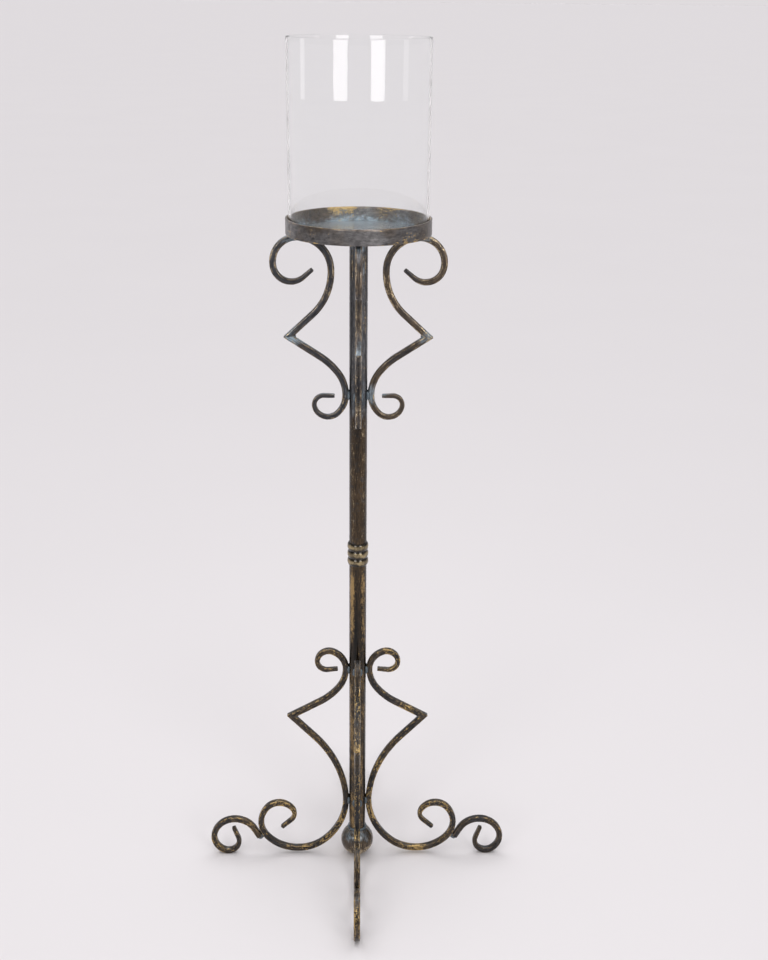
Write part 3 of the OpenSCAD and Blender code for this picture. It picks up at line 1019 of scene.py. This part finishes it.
def patina_metal(name, dark, brown, gold, blue, roughness=0.34, across=60, along=9, grime_tone=0.4,
                 relief=0.25, contrast=1.6, edge_rub_and_highlight=0.13, gold_fade=0.16):
    """Dark painted iron with gold rubbed on it in broken streaks, and blue-grey patina in patches.

    across and along are how fine the streaks are, and gold_fade is how softly the gold ends. The blue-grey
    also gives a painted sheen on upward faces, the tone layer carries painted light and shade, and the gold
    along the edges is partly a painted highlight.
    """
    g = Graph(name)
    place = g.place()
    patches = g.noise(place, 34, 4, 0.6, 0.4)
    flakes = g.noise(place, 420, 3, 0.65, 0.6)
    streaks = g.noise(g.skin(across, along), 1.0, 4, 0.6, 0.3)
    brushed = g.noise(g.skin(across * 1.6, along * 0.5), 1.0, 3, 0.6, 0.1)
    grime = g.noise(place, 130, 4, 0.6)

    warmth = g.add(g.attribute("warm"), g.minus(patches, 0.5))
    base = g.mix(g.between(warmth, 0.2, 0.75), dark, brown)
    worn = g.times(g.attribute("edge"), g.between(streaks, 0.35, 0.65))
    base = g.mix(g.times(worn, 0.7), base, scaled(brown, 3.0))
    base = g.mix(g.between(grime, 0.5, 0.8), base, scaled(dark, grime_tone))

    blue_breaks = g.add(g.times(grime, 0.9), g.times(brushed, 0.5))
    blue_sum = g.add(g.attribute("blue"), g.minus(blue_breaks, 0.72))
    base = g.mix(g.between(blue_sum, 0.32, 0.95), base, blue)

    uneven = g.add(g.times(brushed, 0.6), g.times(streaks, 0.4))
    tone = g.math("MULTIPLY_ADD", g.between(uneven, 0.38, 0.64), contrast, 1.12 - contrast / 2)
    base = g.mix(1.0, base, g.times(tone, g.add(g.attribute("tone"), 1.0)), "MULTIPLY")

    # The gold along the edges is rubbed gold and, most of all on the brackets, partly a painted highlight
    rub = g.add(g.times(g.attribute("edge"), edge_rub_and_highlight), g.times(g.attribute("gold"), 0.8))
    breaks = g.add(g.add(streaks, g.times(flakes, 0.9)), g.times(patches, 0.7))
    gold_sum = g.add(g.add(rub, breaks), -BREAKS_MEAN)
    gold_mask = g.between(gold_sum, GOLD_LEVEL - gold_fade / 2, GOLD_LEVEL + gold_fade / 2)
    colour = g.mix(gold_mask, base, gold)

    shine = g.add(roughness - 0.1, g.times(grime, 0.25))
    shine = g.minus(shine, g.times(gold_mask, 0.08))
    height = g.add(g.times(flakes, 0.5), g.add(grime, g.times(gold_mask, 0.35)))
    shader = g.put("BsdfPrincipled", {
        "Base Color": colour, "Metallic": 0.6, "Roughness": shine,
        "Normal": g.bump(height, relief, 0.4 * MM),
        "Specular IOR Level": 0.3, "Coat Weight": 0.3, "Coat Roughness": 0.15,
    })
    return g.end(shader.outputs[0])


def brass():
    """Turned brass, with painted shade in its grooves and a painted highlight on its crowns and upper sides.
    """
    g = Graph("collar_brass_worn")
    tarnish = g.noise(g.place(), 110, 3, 0.5, 0.3)
    crown = g.add(g.attribute("edge"), g.times(g.minus(tarnish, 0.5), 1.4))
    # The dark colour is painted shade in the grooves, and the bright one a painted highlight on the crowns
    colour = g.mix(g.between(crown, 0.30, 1.15), (0.018, 0.013, 0.008, 1), (0.50, 0.39, 0.21, 1))
    shine = g.add(0.20, g.times(tarnish, 0.24))
    shader = g.put("BsdfPrincipled", {
        "Base Color": colour, "Metallic": 0.9, "Roughness": shine, "Normal": g.bump(tarnish, 0.2, 0.3 * MM),
        "Coat Weight": 0.6, "Coat Roughness": 0.12,
    })
    return g.end(shader.outputs[0])


def clear_glass():
    """Thin clear glass that lets the lamps through to what is behind it."""
    g = Graph("hurricane_clear_glass")
    glass = g.put("BsdfPrincipled", {
        "Base Color": (0.995, 1.0, 1.0, 1), "Roughness": 0.0, "IOR": 1.08, "Transmission Weight": 1.0,
        "Coat Weight": 0.6, "Coat Roughness": 0.0, "Coat IOR": 1.5,
    })
    clear = g.put("BsdfTransparent", {"Color": (0.96, 0.975, 0.975, 1)})
    shadow = g.put("LightPath").outputs["Is Shadow Ray"]
    mixed = g.put("MixShader", {0: shadow, 1: glass.outputs[0], 2: clear.outputs[0]})
    return g.end(mixed.outputs[0])


def inner_steel():
    """Turned steel for the pieces inside the post."""
    g = Graph("inner_turned_steel")
    rings = g.noise(g.put("Mapping", {"Vector": g.place(), "Scale": (40, 40, 900)}).outputs[0], 1.0, 2)
    colour = g.mix(rings, (0.42, 0.42, 0.43, 1), (0.62, 0.62, 0.62, 1))
    shader = g.put("BsdfPrincipled", {"Base Color": colour, "Metallic": 1.0, "Roughness": 0.34})
    return g.end(shader.outputs[0])


def studio_floor():
    """Plain pale paper."""
    g = Graph("studio_floor")
    tone = g.noise(g.place(), 1.3, 3)
    colour = g.mix(tone, (0.737, 0.716, 0.725, 1), (0.757, 0.736, 0.745, 1))
    shader = g.put("BsdfPrincipled", {"Base Color": colour, "Roughness": 0.9, "Specular IOR Level": 0.1})
    return g.end(shader.outputs[0])


GOLD = (0.47, 0.32, 0.12, 1)
DULL_GOLD = (0.33, 0.215, 0.085, 1)
# Pale gold: rubbed gold whose pale colour also stands in for the cream highlights along the brackets' edges,
# a painted highlight
PALE_GOLD = (0.45, 0.35, 0.21, 1)
BLUE = (0.16, 0.20, 0.23, 1)

BRACKET_BRONZE = patina_metal(
    "bracket_bronze", (0.031, 0.032, 0.036, 1), (0.060, 0.043, 0.027, 1), PALE_GOLD, BLUE,
    contrast=1.35, edge_rub_and_highlight=0.17)
LEG_BRONZE = patina_metal(
    "leg_bronze", (0.028, 0.028, 0.030, 1), (0.048, 0.034, 0.020, 1), GOLD, BLUE, across=45, along=14)
UPPER_TUBE_BRONZE = patina_metal(
    "upper_tube_bronze", (0.064, 0.065, 0.069, 1), (0.034, 0.021, 0.010, 1), PALE_GOLD, BLUE,
    roughness=0.28, contrast=1.3, gold_fade=0.30)
LOWER_TUBE_BRONZE = patina_metal(
    "lower_tube_bronze", (0.029, 0.028, 0.027, 1), (0.029, 0.018, 0.008, 1), DULL_GOLD, BLUE,
    roughness=0.28, contrast=1.4, gold_fade=0.40)
PAN_BRONZE = patina_metal(
    "pan_band_patina", (0.073, 0.070, 0.070, 1), (0.074, 0.053, 0.035, 1), GOLD, BLUE,
    across=8, along=40, contrast=0.8)
WELD_METAL = patina_metal(
    "weld_patina_metal", (0.050, 0.051, 0.054, 1), (0.045, 0.035, 0.025, 1), GOLD, BLUE, roughness=0.45)
PAN_PATINA = patina_metal(
    "pan_floor_patina", (0.20, 0.225, 0.24, 1), (0.20, 0.215, 0.22, 1), GOLD, (0.235, 0.275, 0.30, 1),
    roughness=0.20, grime_tone=0.8, relief=0.05, contrast=0.35)
COLLAR_BRASS = brass()
CLEAR_GLASS = clear_glass()
INNER_STEEL = inner_steel()


# ---------- studio ----------

# Half the floor's width
FLOOR_R = 200.0


def floor():
    """A pale floor that runs out of sight on every side."""
    bm = bmesh.new()
    corners = [(FLOOR_R * x, FLOOR_R * y, 0.0) for x, y in ((-1, -1), (1, -1), (1, 1), (-1, 1))]
    bm.faces.new([bm.verts.new(corner) for corner in corners])
    finish_piece("studio_floor", bm, studio_floor())


OVERHEAD_STRENGTH = 1.85
BACK_STRENGTH = 0.35
ROOM_STRENGTH = 0.20


def studio_sky():
    """A soft light overhead in a dim room that is lighter at its back, with plain pale paper to look at."""
    g = Graph("studio_sky", "World")
    direction = g.put("SeparateXYZ", {0: g.put("TexCoord").outputs["Generated"]}).outputs
    overhead = g.times(g.between(direction["Z"], 0.68, 0.90), OVERHEAD_STRENGTH)
    back = g.times(g.between(direction["Y"], -0.1, 0.6), BACK_STRENGTH)
    strength = g.add(g.add(overhead, back), ROOM_STRENGTH)
    room = g.put("Background", {"Color": (0.99, 0.975, 0.99, 1), "Strength": strength})
    paper = g.put("Background", {"Color": (0.74, 0.710, 0.724, 1), "Strength": 1.0})
    path = g.put("LightPath").outputs
    seen = g.math("MAXIMUM", path["Is Camera Ray"], path["Is Transmission Ray"])
    mixed = g.put("MixShader", {0: seen, 1: room.outputs[0], 2: paper.outputs[0]})
    bpy.context.scene.world = g.end(mixed.outputs[0])


# All lamps are equally tall, high and far from the post's axis, and are aimed at one point on it
SOFTBOX_DISTANCE = 2.3
SOFTBOX_HEIGHT = 1.35
SOFTBOX_TALL = 0.74
SOFTBOX_SPREAD = 90.0
SOFTBOX_AIM = 1.2


def softbox(name, direction, width, watts):
    """A softbox with a grid, at a heading round the stand, where 0 is towards the camera."""
    a = math.radians(direction)
    light = bpy.data.lights.new(name, "AREA")
    light.shape = "RECTANGLE"
    light.size, light.size_y = width, SOFTBOX_TALL
    light.energy = watts
    light.spread = math.radians(SOFTBOX_SPREAD)
    light.color = (1.0, 0.985, 0.985)
    lamp = bpy.data.objects.new(name, light)
    lamp.visible_camera = False
    lamp.visible_transmission = False
    at = Vector((SOFTBOX_DISTANCE * math.sin(a), -SOFTBOX_DISTANCE * math.cos(a), SOFTBOX_HEIGHT))
    aim = (Vector((0, 0, SOFTBOX_AIM)) - at).to_track_quat("-Z", "Y").to_matrix()
    lamp.matrix_world = Matrix.Translation(at) @ aim.to_4x4()
    bpy.context.scene.collection.objects.link(lamp)


def lights():
    """Two softboxes in front, whose images stand in the glass, and a narrow strip light on each side."""
    softbox("softbox_left", -28.5, 0.90, 5.2)
    softbox("softbox_right", 28.5, 0.90, 5.5)
    softbox("strip_left", -97, 0.4, 0.6)
    softbox("strip_right", 76, 0.4, 0.45)


# The camera in front (-Y), and how far it is turned down, to the right and about its own axis. The field
# of view is that of the frame's longer side.
CAMERA_HEIGHT = 1.2717
CAMERA_DISTANCE = 1.7483
CAMERA_DOWN = 20.28
CAMERA_YAW = 1.20
CAMERA_ROLL = 0.57
FIELD_OF_VIEW = 40.0


def camera():
    data = bpy.data.cameras.new("camera")
    data.lens = data.sensor_width / 2 / math.tan(math.radians(FIELD_OF_VIEW / 2))
    data.clip_end = 2 * FLOOR_R
    eye = bpy.data.objects.new("camera", data)
    turn = Matrix.Rotation(math.radians(-CAMERA_YAW), 4, "Z")
    tilt = Matrix.Rotation(math.radians(90 - CAMERA_DOWN), 4, "X")
    roll = Matrix.Rotation(math.radians(CAMERA_ROLL), 4, "Z")
    eye.matrix_world = Matrix.Translation((0, -CAMERA_DISTANCE, CAMERA_HEIGHT)) @ turn @ tilt @ roll
    bpy.context.scene.collection.objects.link(eye)
    bpy.context.scene.camera = eye


# ---------- the scene ----------

camera()
lights()
floor()
studio_sky()
bpy.context.scene.view_settings.view_transform = "Standard"

bars()
tube("upper_tube_wall", JOINT_Z, PAN_LOW, "upper_post_tube", "upper_bronze", 1.0, UPPER_TUBE_BRONZE)
tube("lower_tube_wall", TUBE_FOOT_Z, JOINT_Z, "lower_post_tube", "lower_bronze", 2.0, LOWER_TUBE_BRONZE)
collar()
ball()
pan()
hurricane()
welds()

# The pieces inside the post stay the CAD's own
for node in ("upper_insert", "lower_insert", "joining_stud"):
    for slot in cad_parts[node].material_slots:
        slot.material = INNER_STEEL
